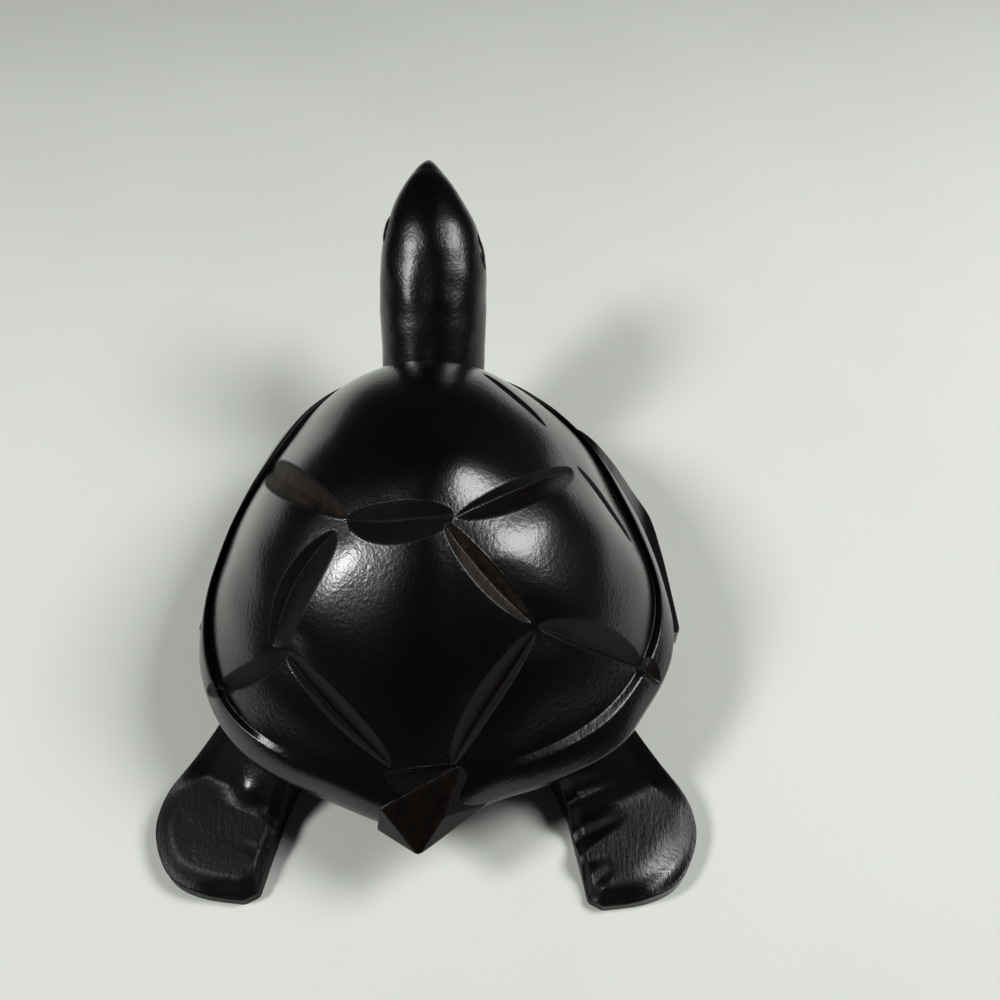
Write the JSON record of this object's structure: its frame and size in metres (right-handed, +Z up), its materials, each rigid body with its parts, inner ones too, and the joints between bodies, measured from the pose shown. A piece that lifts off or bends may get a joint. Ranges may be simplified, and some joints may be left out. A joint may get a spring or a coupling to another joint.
{
  "type": "turtle figurine",
  "caption": "Carved dark hardwood sea turtle that stands on four spread flippers, with a raised head, grooved shell and short faceted tail.",
  "frame": {"origin": "on the table, under the middle of the whole figure", "axes": "+Z up, head towards -Y, tail towards +Y, the turtle's left at +X"},
  "size_m": [0.1388, 0.2, 0.0851],
  "materials": {
    "dark_wood": "dark stained and polished",
    "dowel_wood": "plain, unfinished"
  },
  "bodies": {
    "root": {"carapace": "dark_wood", "plastron": "dark_wood", "head_and_neck": "dark_wood", "tail": "dark_wood", "front_flipper_left": "dark_wood", "front_flipper_right": "dark_wood", "hind_flipper_left": "dark_wood", "hind_flipper_right": "dark_wood", "neck_dowel": "dowel_wood", "tail_dowel": "dowel_wood", "shell_dowel_front": "dowel_wood", "shell_dowel_rear": "dowel_wood", "front_flipper_dowel_left": "dowel_wood", "front_flipper_dowel_right": "dowel_wood", "hind_flipper_dowel_left": "dowel_wood", "hind_flipper_dowel_right": "dowel_wood"}
  },
  "joints": []
}
